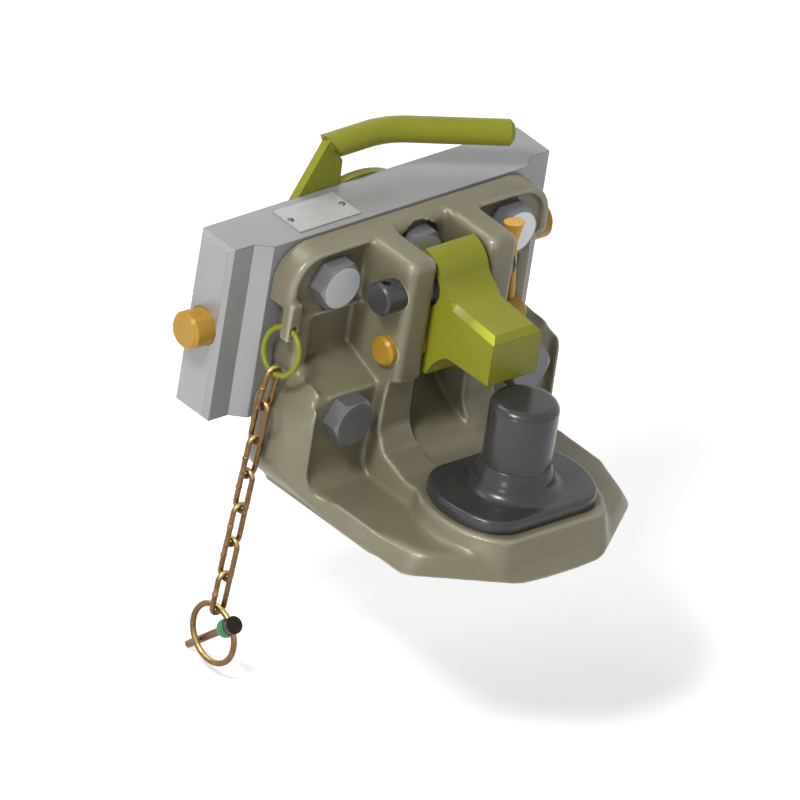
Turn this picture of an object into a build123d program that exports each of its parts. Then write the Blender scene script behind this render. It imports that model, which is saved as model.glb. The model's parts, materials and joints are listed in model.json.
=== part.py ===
from build123d import *
import math
import os

os.makedirs("parts", exist_ok=True)

# A piton coupler on a slider plate. Millimetres, +Z up, +X to the right seen from the front, front at -Y.
# The origin is in the middle plane of the casting, on the axis of the slider's two locking bolts.
# Forward distances are measured from the origin towards the front.

# Slider block
slider_x = -4.0
slider_width = 266.0
slider_height = 125.0
tongue_thick = 31.4
seat_forward = 24.0
raised_half_width = 104.5
flank_slope_width = 9.7
end_chamfer = 3.0
overrun = 1.0

# Side locking bolts and their drive
side_bolt_r = 12.5
side_bolt_guide_r = 12.6
side_bolt_reach = 15.4
side_bolt_step = 0.5
side_bolt_step_gap = 0.2
side_bolt_end_chamfer = 2.2
side_bolt_clearance = 0.08
side_bolt_travel = 16.0
web_half_width = 12.0
drive_pin_r = 4.0
drive_pin_x = 52.0
slot_clearance = 0.25
bolt_spring_r = 6.8
bolt_spring_wire_r = 1.1
bolt_spring_coils = 6
spring_pocket_r = 8.4
spring_pocket_depth = 16.0
spring_end_room = 0.1
bolt_stop_room = 1.5
drive_pin_root = -2.0
drive_pin_stand = 1.0

# Release lever behind the slider
lever_turn = 29.0
lever_thick = 6.0
lever_gap = 0.3
cam_disc_r = 64.0
handle_r = 8.6
handle_height = 91.5
handle_start_run = 30.0
handle_bend_r = 54.0
handle_bend = 31.0
handle_end_run = 67.0
handle_end_chamfer = 2.5
lever_shoulder_r = 7.0
lever_play = 0.3
pivot_thread_r = 6.0
pivot_thread_length = 26.0
pivot_head_af = 19.0
pivot_head_height = 8.0
washer_r = 14.0
washer_thick = 2.0

# Type plate
plate_length = 50.5
plate_width = 28.0
plate_thick = 1.0
plate_x = -57.6
plate_forward = 4.6
plate_margin = 4.0
rivet_head_r = 2.3
rivet_r = 1.5
rivet_head_height = 1.2
rivet_length = 6.0
rivet_tip_room = 1.0

# Casting: bolted flange with dished pockets for the upper bolts
body_half_width = 107.2
flange_top = 61.8
flange_bottom = -22.0
flange_corner_r = 24.0
rim_forward = 44.5
rim_round = 4.0
upper_seat_forward = 40.5
middle_seat_forward = 34.5
upper_pocket_r = 20.0
dish_inner = 30.0
dish_outer = 99.0
dish_low = 19.0
dish_high = 56.0
dish_corner_r = 17.0
dish_slope = 35.0
ledge_z = 13.0
panel_forward = 35.6
panel_outer = 84.0
panel_bottom = -26.0
panel_taper = 10.0
notch_width = 10.7
notch_top = 24.0
notch_bottom = -23.0
lug_width = 10.2
lug_bottom = 3.5
lug_top = 30.0
lug_back = 38.5
lug_front = 46.5

# Casting: lower lobes with the lower bolt pockets
lobe_top = -18.0
lobe_depth = 98.0
lobe_shoulder_half_width = 91.0
lobe_shoulder_drop = 27.0
lobe_shoulder_r = 16.0
lobe_corner_r = 26.0
ridge_forward = 77.0
ridge_top = -27.0
ridge_round = 8.0
ridge_foot_forward = 82.0
ridge_foot_z = -79.5
ridge_thick = 8.0
ridge_taper_forward = 60.0
ridge_front_half_width = 103.0
lobe_front_half_width = 95.5
lobe_straight_forward = 93.0
valley_back = 38.6
valley_crest_forward = 48.6
valley_end_z = -29.0
valley_half_width = 93.0
lower_seat_forward = 71.0
seat_foot_r = 17.0

# Casting: cheeks, the channel between them and the spine below
cheek_inner = 21.5
cheek_outer = 44.5
cheek_forward = 84.5
cheek_bottom = -25.0
cheek_round = 6.0
channel_back = 40.0
channel_lip_r = 9.0
spine_half_width = 50.5
spine_foot_half_width = 57.0
spine_top = 12.0
spine_nose_z = -42.0

# Casting: tray and the piton's pad
tray_top = -89.5
tray_bottom = -105.5
tray_back = 34.0
tray_half_width = 94.0
tray_taper_forward = 140.0
tray_corner_half_width = 81.0
tray_corner_forward = 173.0
tray_corner_r = 22.0
tray_front = 200.0
tray_front_half_width = 38.0
tray_front_r = 30.0
foot_half_width = 96.0
foot_corner_half_width = 96.5
foot_corner_forward = 168.0
foot_corner_r = 14.0
foot_front = 213.0
foot_front_half_width = 34.0
foot_front_r = 30.0
pad_top = -77.5
pad_margin = 6.0
pad_taper = 12.0

# Hex bolts, size M20
bolt_r = 10.0
bolt_af = 30.0
bolt_head = 12.5
bolt_head_chamfer = 30.0
head_face_share = 0.95
bolt_hole_r = 11.0
bolt_x = 72.5
upper_bolt_z = 38.0
lower_bolt_z = -45.3
upper_bolt_length = 50.0
lower_bolt_length = 80.0
thread_clearance = 0.05

# Piton
piton_forward = 156.1
piton_r = 22.25
piton_top = -7.6
piton_round = 6.0
piton_neck_r = 25.0
piton_neck_z = -58.6
piton_neck_rise = 7.0
flange_disc_r = 54.0
flange_flat = 39.0
flange_thick = 9.0
flange_round = 2.5
flange_corner_round = 9.0
piton_fillet_r = 34.0
piton_foot_r = 27.3
piton_foot_rise = 3.0
spigot_r = 18.0
spigot_clearance = 0.1
stud_r = 15.0
stud_length = 26.0
nut_af = 46.0
nut_height = 18.0
piton_washer_r = 28.0
piton_washer_thick = 5.0

# Keeper with its pivot pin and locking pin
pin_forward = 71.7
pivot_z = 35.9
pivot_pin_r = 11.0
pivot_pin_left_reach = 15.0
pivot_pin_right_reach = 3.0
pivot_pin_chamfer = 1.5
cross_hole_r = 3.0
cross_hole_inset = 6.0
bush_r = 14.0
pin_clearance = 0.05
bush_clearance = 0.08
lock_z = -5.0
lock_pin_r = 10.0
lock_pin_left_reach = 5.0
lock_pin_right_reach = 20.0
lock_pin_chamfer = 2.0
lock_hole_clearance = 0.08
lock_slot_clearance = 0.6
handle_rod_inset = 7.5
handle_rod_r = 3.0
handle_head_r = 6.8
handle_length = 73.0
handle_cone = 14.0
handle_lean = 7.3
handle_foot = 11.5
keeper_half_width = 20.0
keeper_rear = 56.4
keeper_rear_top = 50.0
keeper_crown_back = (67.0, 59.7)
keeper_crown_middle = (80.1, 54.1)
keeper_crown_front = (85.2, 45.5)
keeper_ramp_middle = (91.2, 39.2)
keeper_nose_front = 140.6
keeper_nose_start = 100.0
keeper_nose_top = 35.4
keeper_nose_front_top = 32.3
keeper_nose_bottom = -1.4
keeper_nose_chamfer = 4.0
keeper_throat_front = (101.6, -2.2)
keeper_throat_middle = (92.4, -9.4)
keeper_tail_front = 85.0
keeper_tail_bottom = -22.4
keeper_tail_chamfer = 2.0

# Ring, chain and linch pin
ring_r = 15.4
ring_wire_r = 1.8
ring_tilt = 15.0
ring_hole_r = 3.2
ring_hole_inset = 4.4
ring_hole_forward = 42.5
ring_hole_z = 11.3
ring_seat_drop = 0.6
link_wire_r = 1.8
link_length = 29.6
link_width = 9.8
link_count = 7
link_gap = 0.3
first_link_tilt = 7.0
chain_tilt = 1.0
chain_back_tilt = 3.2
bail_r = 19.5
bail_wire_r = 2.0
linch_pin_r = 2.6
linch_tip_reach = 15.0
linch_head_length = 8.5
linch_head_r = 5.8
linch_head_play = 1.2
linch_pin_sink = 1.0
collar_r = 6.0
collar_length = 4.0
linch_angle = 48.0
linch_skew = 7.4

# The side view has the forward distance to the right and the height up, and looks from the left.
SIDE = Plane(origin=(0, 0, 0), x_dir=(0, -1, 0), z_dir=(-1, 0, 0))
half_height = slider_height / 2
back_face = tongue_thick / 2
upper_bolt_places = [(-bolt_x, upper_bolt_z), (0, upper_bolt_z), (bolt_x, upper_bolt_z)]
upper_bolt_seats = [upper_seat_forward, middle_seat_forward, upper_seat_forward]
lower_bolt_places = [(-bolt_x, lower_bolt_z), (bolt_x, lower_bolt_z)]
piton_place = (0, -piton_forward)
ring_hole_x = ring_hole_inset - body_half_width
spine_slope = [(80.0, -58.0), (89.0, -71.0), (111.0, pad_top)]
channel_floor = [(47.0, -42.0), (64.0, -60.0), (94.0, -73.5), (113.0, pad_top)]


def keep(name, label):
    """Label a finished piece and write its file."""
    name.part.label = label
    export_step(name.part, f"parts/{label}.step")


# Slider block: tongues at both ends, raised front, cross bores for the side bolts
side_bore_r = side_bolt_guide_r + side_bolt_clearance
slot_half_height = drive_pin_r + slot_clearance + overrun
with BuildPart() as slider_block:
    with BuildSketch(Plane.XY.offset(-half_height)):
        with BuildLine():
            half_plan = Polyline(
                (slider_x, back_face),
                (slider_x + slider_width / 2, back_face),
                (slider_x + slider_width / 2, -back_face),
                (slider_x + raised_half_width + flank_slope_width, -back_face),
                (slider_x + raised_half_width, -seat_forward),
                (slider_x, -seat_forward),
            )
            mirror(half_plan, about=Plane.YZ.offset(slider_x))
        make_face()
    extrude(amount=slider_height)
    end_faces = slider_block.faces().filter_by(Axis.X)
    chamfer([end_faces.sort_by(Axis.X)[0].edges(), end_faces.sort_by(Axis.X)[-1].edges()], end_chamfer)
    for side in (-1, 1):
        with BuildSketch(Plane.YZ.offset(slider_x + side * web_half_width)):
            Circle(side_bore_r)
        extrude(amount=side * slider_width, mode=Mode.SUBTRACT)
    with BuildSketch(Plane.XZ.offset(-back_face)):
        with Locations((slider_x, 0)):
            with Locations((drive_pin_x - side_bolt_travel / 2, 0), (side_bolt_travel / 2 - drive_pin_x, 0)):
                SlotCenterToCenter(side_bolt_travel + overrun, 2 * slot_half_height)
    extrude(amount=back_face, mode=Mode.SUBTRACT)
    with BuildSketch(Plane.XZ.offset(-back_face)):
        with Locations((slider_x, 0)):
            Circle(pivot_thread_r + thread_clearance)
    extrude(amount=pivot_thread_length + 2 * overrun, mode=Mode.SUBTRACT)
    with BuildSketch(Plane.XZ.offset(seat_forward)):
        with Locations(*upper_bolt_places, *lower_bolt_places):
            Circle(bolt_r + thread_clearance)
    extrude(amount=-(seat_forward + back_face), mode=Mode.SUBTRACT)
    rivet_x = plate_length / 2 - plate_margin
    with BuildSketch(Plane.XY.offset(half_height)):
        with Locations((plate_x - rivet_x, -plate_forward), (plate_x + rivet_x, -plate_forward)):
            Circle(rivet_r + thread_clearance)
    extrude(amount=-rivet_length, mode=Mode.SUBTRACT)
keep(slider_block, "slider_block")

# Type plate, bare, and its two dome-head rivets
with BuildPart() as type_plate:
    with BuildSketch(Plane.XY.offset(half_height)):
        with Locations((plate_x, -plate_forward)):
            Rectangle(plate_length, plate_width)
            with Locations((-rivet_x, 0), (rivet_x, 0)):
                Circle(rivet_r + thread_clearance, mode=Mode.SUBTRACT)
    extrude(amount=plate_thick)
keep(type_plate, "type_plate")

rivet_sphere_r = (rivet_head_r ** 2 + rivet_head_height ** 2) / (2 * rivet_head_height)
with BuildPart() as plate_rivets:
    with Locations((plate_x - rivet_x, -plate_forward), (plate_x + rivet_x, -plate_forward)):
        with Locations((0, 0, half_height + plate_thick + rivet_head_height - rivet_sphere_r)):
            Sphere(rivet_sphere_r)
    split(bisect_by=Plane.XY.offset(half_height + plate_thick), keep=Keep.TOP)
    with BuildSketch(Plane.XY.offset(half_height + plate_thick)):
        with Locations((plate_x - rivet_x, -plate_forward), (plate_x + rivet_x, -plate_forward)):
            Circle(rivet_r)
    extrude(amount=rivet_tip_room - rivet_length - plate_thick)
keep(plate_rivets, "plate_rivets")

# Side locking bolts, their springs and the drive pins that reach the cam disc
side_bolt_inner = web_half_width + side_bolt_travel + bolt_stop_room
side_bolt_end = slider_width / 2 + side_bolt_reach
guide_end = slider_width / 2 + side_bolt_step_gap
bolt_outline = [
    (side_bolt_inner, 0),
    (side_bolt_inner, side_bolt_guide_r),
    (guide_end - side_bolt_step, side_bolt_guide_r),
    (guide_end, side_bolt_r),
    (side_bolt_end - side_bolt_end_chamfer, side_bolt_r),
    (side_bolt_end, side_bolt_r - side_bolt_end_chamfer),
    (side_bolt_end, 0),
]
drive_pin_tip = back_face + lever_gap + lever_thick + drive_pin_stand
for side, side_name in ((-1, "left"), (1, "right")):
    with BuildPart() as locking_bolt:
        with BuildSketch(Plane.XY):
            with BuildLine():
                Polyline(*[(slider_x + side * reach, radius) for reach, radius in bolt_outline], close=True)
            make_face()
        revolve(axis=Axis.X)
        with BuildSketch(Plane.YZ.offset(slider_x + side * side_bolt_inner)):
            Circle(spring_pocket_r)
        extrude(amount=side * spring_pocket_depth, mode=Mode.SUBTRACT)
        with BuildSketch(Plane.XZ.offset(-drive_pin_root)):
            with Locations((slider_x + side * drive_pin_x, 0)):
                Circle(drive_pin_r + thread_clearance)
        extrude(amount=-2 * side_bolt_r, mode=Mode.SUBTRACT)
    keep(locking_bolt, f"locking_bolt_{side_name}")

    with BuildPart() as drive_pin:
        with BuildSketch(Plane.XZ.offset(-drive_pin_root)):
            with Locations((slider_x + side * drive_pin_x, 0)):
                Circle(drive_pin_r)
        extrude(amount=drive_pin_root - drive_pin_tip)
    keep(drive_pin, f"drive_pin_{side_name}")

    spring_start = web_half_width + bolt_spring_wire_r + spring_end_room
    spring_end = side_bolt_inner + spring_pocket_depth - bolt_spring_wire_r - spring_end_room
    spring_length = spring_end - spring_start
    with BuildPart() as bolt_spring:
        with BuildLine():
            coil = Helix(
                pitch=spring_length / bolt_spring_coils,
                height=spring_length,
                radius=bolt_spring_r,
                center=(slider_x + side * spring_start, 0, 0),
                direction=(side, 0, 0),
            )
        with BuildSketch(Plane(origin=coil @ 0, z_dir=coil % 0)):
            Circle(bolt_spring_wire_r)
        sweep()
    keep(bolt_spring, f"bolt_spring_{side_name}")

# Release lever: cam disc with two spiral slots and an arm, turning on the slider's back
travel_per_radian = side_bolt_travel / math.radians(lever_turn)
slider_back = Plane(origin=(slider_x, back_face, 0), x_dir=(1, 0, 0), z_dir=(0, -1, 0))
lever_plane = slider_back.offset(-lever_gap)
slot_steps = 6
slot_turn = lever_turn + 2 * overrun
arm_tip = (-31.0, 97.0)
arm_right_top = (-17.5, 80.0)
arm_outline = [(-20.0, 10.0), (-63.0, 40.0), arm_tip, arm_right_top, (-16.0, 50.0)]


def spiral_point(degrees, side, offset):
    """A point beside the slot's centre line, whose radius falls evenly with the angle."""
    angle = math.radians(degrees)
    reach = drive_pin_x - travel_per_radian * angle
    run = Vector(-travel_per_radian * math.cos(angle) - reach * math.sin(angle),
                 travel_per_radian * math.sin(angle) - reach * math.cos(angle)).normalized()
    place = Vector(reach * math.cos(angle), -reach * math.sin(angle)) + Vector(-run.Y, run.X) * offset
    return (side * place.X, side * place.Y)


with BuildPart() as release_lever:
    with BuildSketch(lever_plane):
        Circle(cam_disc_r)
        with BuildLine():
            Polyline(*arm_outline, close=True)
        make_face()
        Circle(lever_shoulder_r + pin_clearance, mode=Mode.SUBTRACT)
    extrude(amount=-lever_thick)
    slot_half_width = drive_pin_r + slot_clearance
    slot_angles = [slot_turn * step / slot_steps - overrun for step in range(slot_steps + 1)]
    for side in (-1, 1):
        with BuildSketch(lever_plane):
            with BuildLine():
                outer_edge = Spline(*[spiral_point(turn, side, slot_half_width) for turn in slot_angles])
                inner_edge = Spline(*[spiral_point(turn, side, -slot_half_width) for turn in slot_angles])
                Line(outer_edge @ 0, inner_edge @ 0)
                Line(outer_edge @ 1, inner_edge @ 1)
            make_face()
            with Locations(spiral_point(slot_angles[0], side, 0), spiral_point(slot_angles[-1], side, 0)):
                Circle(slot_half_width)
        extrude(amount=-lever_thick, mode=Mode.SUBTRACT)
keep(release_lever, "release_lever")

# Lever handle: a round bar welded to the arm's slanted edge, bent towards the front
arm_mid = back_face + lever_gap + lever_thick / 2
edge_run = arm_right_top[0] - arm_tip[0]
edge_drop = arm_tip[1] - arm_right_top[1]
weld_x = slider_x + arm_tip[0] + edge_run * (arm_tip[1] - handle_height) / edge_drop
handle_plane = Plane(origin=(0, arm_mid, handle_height), x_dir=(1, 0, 0), z_dir=(0, 0, 1))
weld_plane = Plane(
    origin=(weld_x, arm_mid, handle_height), x_dir=(0, 1, 0), z_dir=(edge_drop, 0, edge_run)
)
with BuildPart() as lever_handle:
    with BuildLine(handle_plane):
        start_run = Line((weld_x - handle_r, 0), (weld_x + handle_start_run, 0))
        bend = JernArc(start=start_run @ 1, tangent=start_run % 1, radius=handle_bend_r, arc_size=-handle_bend)
        PolarLine(start=bend @ 1, length=handle_end_run, direction=bend % 1)
    with BuildSketch(Plane(origin=start_run @ 0, z_dir=start_run % 0)):
        Circle(handle_r)
    sweep()
    chamfer(lever_handle.faces().sort_by(Axis.X)[-1].edges(), handle_end_chamfer)
    split(bisect_by=weld_plane, keep=Keep.TOP)
keep(lever_handle, "lever_handle")

# Shoulder bolt and washer that carry the lever
shoulder_length = lever_gap + lever_thick + lever_play
with BuildPart() as lever_pivot_bolt:
    with BuildSketch(slider_back.offset(-shoulder_length - washer_thick)):
        RegularPolygon(pivot_head_af / 2, 6, major_radius=False)
    extrude(amount=-pivot_head_height)
    with BuildSketch(slider_back.offset(-shoulder_length - washer_thick)):
        Circle(pivot_thread_r)
    extrude(amount=shoulder_length + washer_thick + pivot_thread_length)
    with BuildSketch(slider_back):
        Circle(lever_shoulder_r)
    extrude(amount=-shoulder_length)
keep(lever_pivot_bolt, "lever_pivot_bolt")

with BuildPart() as lever_washer:
    with BuildSketch(slider_back.offset(-shoulder_length)):
        Circle(washer_r)
        Circle(pivot_thread_r + slot_clearance, mode=Mode.SUBTRACT)
    extrude(amount=-washer_thick)
keep(lever_washer, "lever_washer")

# Casting, lower lobes: the front outline cut by the side profile and the plan, with a ridge on the outside
with BuildPart() as lobes:
    with BuildSketch(Plane.XZ.offset(seat_forward)) as lobe_front:
        with BuildLine():
            half_front = Polyline(
                (0, lobe_top),
                (lobe_shoulder_half_width, lobe_top),
                (body_half_width, lobe_top - lobe_shoulder_drop),
                (body_half_width, tray_bottom),
                (0, tray_bottom),
            )
            mirror(half_front, about=Plane.YZ)
        make_face()
        outer_corners = lobe_front.vertices().group_by(Axis.X)
        fillet([outer_corners[0].sort_by(Axis.Y)[0], outer_corners[-1].sort_by(Axis.Y)[0]], lobe_corner_r)
        shoulders = lobe_front.vertices().filter_by_position(Axis.Y, lobe_top - lobe_shoulder_drop, lobe_top)
        fillet([corner for corner in shoulders if abs(corner.X) > 1], lobe_shoulder_r)
    extrude(amount=lobe_depth - seat_forward)
    with BuildSketch(SIDE) as lobe_side:
        with BuildLine():
            Polyline(
                (seat_forward, tray_bottom),
                (seat_forward, lobe_top),
                (valley_crest_forward, lobe_top),
                (ridge_forward, ridge_top),
                (ridge_forward, ridge_foot_z),
                (ridge_foot_forward, tray_top),
                (lobe_depth, tray_top),
                (lobe_depth, tray_bottom),
                close=True,
            )
        make_face()
        fillet(lobe_side.vertices().sort_by_distance((ridge_forward, ridge_top))[0], ridge_round)
    extrude(amount=body_half_width, both=True, mode=Mode.INTERSECT)
    with BuildSketch(Plane.XY.offset(tray_bottom)):
        with BuildLine():
            half_plan = Polyline(
                (0, -seat_forward),
                (body_half_width, -seat_forward),
                (body_half_width, -ridge_taper_forward),
                (ridge_front_half_width, -ridge_forward),
                (lobe_front_half_width, -lobe_straight_forward),
                (lobe_front_half_width, -lobe_depth),
                (0, -lobe_depth),
            )
            mirror(half_plan, about=Plane.YZ)
        make_face()
    extrude(amount=lobe_top - tray_bottom, mode=Mode.INTERSECT)
    with BuildSketch(SIDE):
        with BuildLine():
            Polyline(
                (valley_back, lobe_top + overrun),
                (valley_back, lobe_top),
                (lower_seat_forward, valley_end_z),
                (lower_seat_forward, lobe_top + overrun),
                close=True,
            )
        make_face()
    extrude(amount=valley_half_width, both=True, mode=Mode.SUBTRACT)
    with BuildSketch(SIDE):
        with BuildLine():
            Line((lower_seat_forward, lobe_top + overrun), (lower_seat_forward, tray_top + seat_foot_r))
            foot_arc = RadiusArc(
                (lower_seat_forward, tray_top + seat_foot_r),
                (lower_seat_forward + seat_foot_r, tray_top),
                -seat_foot_r,
            )
            Polyline(
                foot_arc @ 1,
                (lobe_depth + overrun, tray_top),
                (lobe_depth + overrun, lobe_top + overrun),
                (lower_seat_forward, lobe_top + overrun),
            )
        make_face()
    extrude(amount=body_half_width - ridge_thick, both=True, mode=Mode.SUBTRACT)

# Casting, tray: flat plate whose front wall flares out downwards, with fuller corners at its foot
tray_levels = [
    (
        tray_top,
        [
            (tray_half_width, -tray_back),
            (tray_half_width, -tray_taper_forward),
            (tray_corner_half_width, -tray_corner_forward),
            (tray_front_half_width, -tray_front),
        ],
        (tray_corner_r, tray_front_r),
    ),
    (
        tray_bottom,
        [
            (foot_half_width, -tray_back),
            (foot_half_width, -tray_taper_forward),
            (foot_corner_half_width, -foot_corner_forward),
            (foot_front_half_width, -foot_front),
        ],
        (foot_corner_r, foot_front_r),
    ),
]
with BuildPart() as tray:
    for height, right_half, (corner_r, front_r) in tray_levels:
        with BuildSketch(Plane.XY.offset(height)) as tray_plan:
            with BuildLine():
                Polyline(*right_half, *[(-x, y) for x, y in reversed(right_half)], close=True)
            make_face()
            fillet(tray_plan.vertices().group_by(Axis.Y)[1], corner_r)
            fillet(tray_plan.vertices().group_by(Axis.Y)[0], front_r)
    loft(ruled=True)

# Casting, spine below the channel, reaching forward to the piton's pad
with BuildPart() as spine:
    with BuildSketch(SIDE):
        with BuildLine():
            Polyline(
                (seat_forward, tray_bottom),
                (seat_forward, spine_top),
                (cheek_forward - cheek_round, spine_top),
                (cheek_forward - cheek_round, spine_nose_z),
                *spine_slope,
                (piton_forward, pad_top),
                (piton_forward, tray_bottom),
                close=True,
            )
        make_face()
    extrude(amount=spine_foot_half_width, both=True)
    with BuildSketch(Plane.XZ.offset(seat_forward)):
        with BuildLine():
            half_front = Polyline(
                (0, spine_top),
                (cheek_outer, spine_top),
                (cheek_outer, lobe_top),
                (spine_half_width, pad_top),
                (spine_foot_half_width, tray_bottom),
                (0, tray_bottom),
            )
            mirror(half_front, about=Plane.YZ)
        make_face()
    extrude(amount=piton_forward - seat_forward, mode=Mode.INTERSECT)

# Casting, pad under the piton's flange
with BuildPart() as pad:
    with BuildSketch(Plane.XY.offset(pad_top)):
        with Locations(piton_place):
            Circle(flange_disc_r + pad_margin)
            Rectangle(2 * (flange_disc_r + pad_margin), 2 * (flange_flat + pad_margin), mode=Mode.INTERSECT)
    extrude(amount=tray_bottom - pad_top + overrun, taper=-pad_taper)

# Casting, cheeks that carry the keeper
with BuildPart() as cheeks:
    with BuildSketch(Plane.XY.offset(flange_top)):
        for side in (-1, 1):
            with Locations((side * (cheek_inner + cheek_outer) / 2, -(seat_forward + cheek_forward) / 2)):
                Rectangle(cheek_outer - cheek_inner, cheek_forward - seat_forward)
    extrude(amount=cheek_bottom - flange_top)
    front_faces = cheeks.faces().filter_by(Axis.Y).group_by(Axis.Y)[0]
    fillet([face.edges().group_by(Axis.Z)[-1] for face in front_faces], cheek_round)
    fillet(cheeks.edges().filter_by(Axis.Z).group_by(Axis.Y)[0], cheek_round)

# Casting: all of it in one piece, with the channel, the bolt holes and the pin holes
with BuildPart() as coupling_body:
    with BuildSketch(Plane.XZ.offset(seat_forward)) as flange_front:
        with Locations((0, flange_bottom)):
            Rectangle(2 * body_half_width, flange_top - flange_bottom, align=(Align.CENTER, Align.MIN))
        fillet(flange_front.vertices().group_by(Axis.Y)[-1], flange_corner_r)
    extrude(amount=rim_forward - seat_forward)
    front_edges = coupling_body.faces().sort_by(Axis.Y)[0].edges()
    fillet(front_edges.group_by(Axis.Z)[1:], rim_round)
    for side in (-1, 1):
        with BuildSketch(Plane.XZ.offset(upper_seat_forward)):
            with Locations((side * (dish_inner + dish_outer) / 2, (dish_low + dish_high) / 2)):
                RectangleRounded(dish_outer - dish_inner, dish_high - dish_low, dish_corner_r)
        extrude(amount=rim_forward - upper_seat_forward + overrun, taper=-dish_slope, mode=Mode.SUBTRACT)
        with BuildSketch(Plane.XZ.offset(panel_forward)):
            with Locations((side * (dish_inner + panel_outer) / 2, (ledge_z + panel_bottom) / 2)):
                Rectangle(panel_outer - dish_inner, ledge_z - panel_bottom)
        extrude(amount=rim_forward - panel_forward + overrun, taper=-panel_taper, mode=Mode.SUBTRACT)
        with BuildSketch(Plane.XY.offset(notch_top)):
            with Locations((side * body_half_width, -(seat_forward + rim_forward) / 2)):
                Rectangle(2 * notch_width, rim_forward - seat_forward + 2 * overrun)
        extrude(amount=notch_bottom - notch_top, mode=Mode.SUBTRACT)
    add(cheeks.part)
    add(lobes.part)
    add(spine.part)
    add(tray.part)
    add(pad.part)
    with BuildSketch(SIDE):
        with BuildLine():
            lip = RadiusArc(
                (channel_back - channel_lip_r, flange_top),
                (channel_back, flange_top - channel_lip_r),
                channel_lip_r,
            )
            wall = Line(lip @ 1, (channel_back, lobe_top))
            floor = Spline(
                wall @ 1,
                *channel_floor,
                tangents=((0, -1), (1, 0)),
            )
            open_front = channel_floor[-1][0] + overrun
            open_back = channel_back - channel_lip_r
            Polyline(
                floor @ 1,
                (open_front, pad_top),
                (open_front, flange_top + overrun),
                (open_back, flange_top + overrun),
                lip @ 0,
            )
        make_face()
    extrude(amount=cheek_inner, both=True, mode=Mode.SUBTRACT)
    with BuildSketch(Plane.XZ.offset(middle_seat_forward)):
        with Locations((0, upper_bolt_z)):
            Circle(upper_pocket_r)
    extrude(amount=channel_back - middle_seat_forward, mode=Mode.SUBTRACT)
    with BuildSketch(Plane.XZ.offset(lower_seat_forward)):
        with Locations(*upper_bolt_places, *lower_bolt_places):
            Circle(bolt_hole_r)
    extrude(amount=seat_forward - lower_seat_forward, mode=Mode.SUBTRACT)
    with BuildSketch(Plane.YZ.offset(-cheek_outer)):
        with Locations((-pin_forward, pivot_z)):
            Circle(pivot_pin_r + pin_clearance)
        with Locations((-pin_forward, lock_z)):
            Circle(lock_pin_r + lock_hole_clearance)
    extrude(amount=2 * cheek_outer, mode=Mode.SUBTRACT)
    with BuildSketch(Plane.XY.offset(pad_top)):
        with Locations(piton_place):
            Circle(spigot_r + spigot_clearance)
    extrude(amount=tray_bottom - pad_top, mode=Mode.SUBTRACT)
    with BuildSketch(Plane.XZ.offset(lug_back)):
        with Locations((lug_width / 2 - body_half_width, (lug_bottom + lug_top) / 2)):
            Rectangle(lug_width, lug_top - lug_bottom)
        with Locations((ring_hole_x, ring_hole_z)):
            Circle(ring_hole_r, mode=Mode.SUBTRACT)
    extrude(amount=lug_front - lug_back)
keep(coupling_body, "coupling_body")

# Hex bolts through the casting into the slider: heads with a round chamfer
head_face_r = head_face_share * bolt_af / 2


def hex_bolt(length):
    """A hex bolt with its head to the front and the head's seat at the origin."""
    with BuildPart() as bolt:
        with BuildSketch(Plane.XZ):
            RegularPolygon(bolt_af / 2, 6, major_radius=False)
        extrude(amount=bolt_head)
        with BuildSketch(Plane.XZ.offset(bolt_head)):
            Circle(head_face_r)
        extrude(amount=-bolt_head, taper=bolt_head_chamfer - 90, mode=Mode.INTERSECT)
        with BuildSketch(Plane.XZ):
            Circle(bolt_r)
        extrude(amount=-length)
    return bolt.part


upper_bolt = hex_bolt(upper_bolt_length)
with BuildPart() as upper_bolts:
    with Locations(*[(x, -seat, z) for (x, z), seat in zip(upper_bolt_places, upper_bolt_seats)]):
        add(upper_bolt)
keep(upper_bolts, "upper_bolts")

lower_bolt = hex_bolt(lower_bolt_length)
with BuildPart() as lower_bolts:
    with Locations(*[(x, -lower_seat_forward, z) for x, z in lower_bolt_places]):
        add(lower_bolt)
keep(lower_bolts, "lower_bolts")

# Piton: pin and cut-off round flange in one piece, its stud through the tray
flange_face = pad_top + flange_thick
stud_bottom = tray_bottom - stud_length
with BuildPart() as piton:
    with BuildSketch(Plane.XY.offset(pad_top)):
        with Locations(piton_place):
            Circle(flange_disc_r)
            Rectangle(2 * flange_disc_r, 2 * flange_flat, mode=Mode.INTERSECT)
    extrude(amount=flange_thick)
    fillet(piton.edges().filter_by(Axis.Z), flange_corner_round)
    fillet(piton.faces().sort_by(Axis.Z)[-1].edges(), flange_round)
    with BuildSketch(Plane.XZ.offset(piton_forward)):
        with BuildLine():
            outline = Polyline(
                (piton_r, piton_top - piton_round),
                (piton_r, piton_neck_z + piton_neck_rise),
                (piton_neck_r, piton_neck_z),
            )
            foot_middle = (piton_foot_r, flange_face + piton_foot_rise)
            foot = ThreePointArc(outline @ 1, foot_middle, (piton_fillet_r, flange_face))
            Polyline(
                foot @ 1,
                (piton_fillet_r, pad_top),
                (spigot_r, pad_top),
                (spigot_r, tray_bottom + overrun),
                (stud_r, tray_bottom + overrun),
                (stud_r, stud_bottom),
                (0, stud_bottom),
                (0, piton_top),
                (piton_r - piton_round, piton_top),
            )
            RadiusArc((piton_r - piton_round, piton_top), outline @ 0, piton_round)
        make_face()
    revolve(axis=Axis((0, -piton_forward, 0), (0, 0, 1)))
keep(piton, "piton")

with BuildPart() as piton_washer:
    with BuildSketch(Plane.XY.offset(tray_bottom)):
        with Locations(piton_place):
            Circle(piton_washer_r)
            Circle(stud_r + slot_clearance, mode=Mode.SUBTRACT)
    extrude(amount=-piton_washer_thick)
keep(piton_washer, "piton_washer")

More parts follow.
